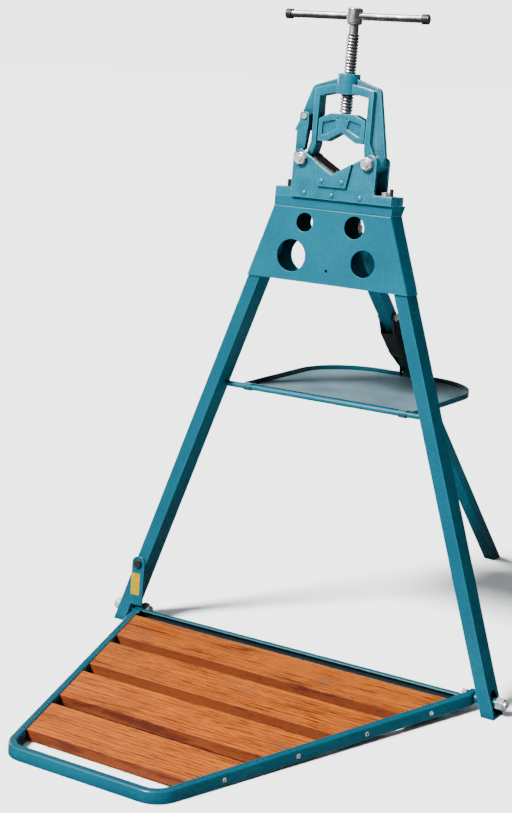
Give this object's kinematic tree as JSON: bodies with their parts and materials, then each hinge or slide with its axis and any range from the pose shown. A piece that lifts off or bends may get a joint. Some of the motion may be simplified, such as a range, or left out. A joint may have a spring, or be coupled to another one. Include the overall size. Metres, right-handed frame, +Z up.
{
  "type": "tripod pipe vise stand",
  "caption": "Portable tripod stand with a yoke pipe vise on its head, a hinged tool tray on the leg brace and a fold-down slatted foot board that steadies the front legs.",
  "frame": {"origin": "on the floor, at the middle of the footprint", "axes": "+X to the right of someone facing the foot board side, +Y from the foot board to the rear leg, +Z up"},
  "size_m": [0.788, 1.4692, 1.1162],
  "materials": {
    "frame_enamel": "hammered teal enamel",
    "vise_enamel": "lighter teal enamel over castings",
    "bright_steel": "plain zinc-plated steel",
    "dark_steel": "blackened steel",
    "jaw_steel": "hardened dark steel",
    "board_wood": "orange-brown stained board",
    "tray_enamel": "teal enamel"
  },
  "bodies": {
    "frame": {"left_leg": "frame_enamel", "right_leg": "frame_enamel", "left_foot_plate": "frame_enamel", "right_foot_plate": "frame_enamel", "cross_rod": "frame_enamel", "head_front_plate": "frame_enamel", "head_rear_plate": "frame_enamel", "rear_leg_bracket": "frame_enamel", "rear_leg_bolt": "bright_steel", "hinge_bolts": "bright_steel", "hinge_nuts": "bright_steel", "hinge_spacers": "frame_enamel", "footboard_latch_bolt": "bright_steel", "vise_base": "vise_enamel", "base_bolts": "bright_steel", "base_pins": "dark_steel", "vise_front_plate": "vise_enamel", "vise_rear_plate": "vise_enamel", "base_rivets": "bright_steel", "shield_plate": "vise_enamel", "shield_rivets": "bright_steel", "jaw_seat": "vise_enamel", "lower_jaw_left": "jaw_steel", "lower_jaw_right": "jaw_steel", "vise_bolts": "bright_steel", "vise_nuts": "bright_steel", "latch_sleeve": "vise_enamel"},
    "rear_leg": {"rear_leg": "frame_enamel", "tray_arm": "frame_enamel", "arm_bolt": "bright_steel"},
    "tray": {"tray": "tray_enamel"},
    "footboard": {"footboard_frame": "frame_enamel", "footboard_rear_bar": "frame_enamel", "board_1": "board_wood", "board_2": "board_wood", "board_3": "board_wood", "board_4": "board_wood"},
    "footboard_latch": {"footboard_latch": "frame_enamel"},
    "yoke": {"yoke": "vise_enamel", "hook_rivet": "bright_steel"},
    "latch_hook": {"latch_hook": "vise_enamel"},
    "upper_jaw": {"upper_jaw": "vise_enamel", "jaw_pins": "bright_steel"},
    "spindle": {"spindle": "bright_steel"},
    "tommy_bar": {"tommy_bar": "bright_steel", "bar_rings": "dark_steel"}
  },
  "joints": [
    {"name": "rear_leg_fold", "type": "hinge", "parent": "frame", "child": "rear_leg", "pos_m": [0, -0.02397, 0.75543], "axis": [1, 0, 0], "range_deg": [-47, 0]},
    {"name": "tray_fold", "type": "hinge", "parent": "frame", "child": "tray", "pos_m": [0, -0.07672, 0.46523], "axis": [1, 0, 0], "range_deg": [-92, 0]},
    {"name": "footboard_fold", "type": "hinge", "parent": "frame", "child": "footboard", "pos_m": [0, -0.11065, 0.02268], "axis": [-1, 0, 0], "range_deg": [0, 86]},
    {"name": "footboard_latch_swing", "type": "hinge", "parent": "frame", "child": "footboard_latch", "pos_m": [-0.33501, -0.12752, 0.11455], "axis": [0, 0.9987, -0.0506], "range_deg": [0, 173]},
    {"name": "yoke_swing", "type": "hinge", "parent": "frame", "child": "yoke", "pos_m": [0.0625, -0.06884, 0.86785], "axis": [0, 0.9987, -0.0506], "range_deg": [0, 95]},
    {"name": "latch_hook_swing", "type": "hinge", "parent": "yoke", "child": "latch_hook", "pos_m": [-0.0687, -0.07583, 0.93729], "axis": [0, 0.9987, -0.0506], "range_deg": [-3.2, 45]},
    {"name": "jaw_slide", "type": "slide", "parent": "yoke", "child": "upper_jaw", "axis": [0, 0.0506, 0.9987], "range_m": [-0.025, 0.025]},
    {"name": "spindle_turn", "type": "hinge", "parent": "upper_jaw", "child": "spindle", "pos_m": [0, -0.06226, 0.99768], "axis": [0, 0.0506, 0.9987], "range_deg": [-1800, 1800]},
    {"name": "tommy_bar_slide", "type": "slide", "parent": "spindle", "child": "tommy_bar", "axis": [1, 0, 0], "range_m": [-0.1, 0.1]}
  ],
  "couplings": [
    {"joint": "tray_fold", "follows": "rear_leg_fold", "ratio": 1.95},
    {"joint": "footboard_latch_swing", "follows": "footboard_fold", "ratio": 2},
    {"joint": "jaw_slide", "follows": "spindle_turn", "m_per_rad": 0.00079577}
  ]
}
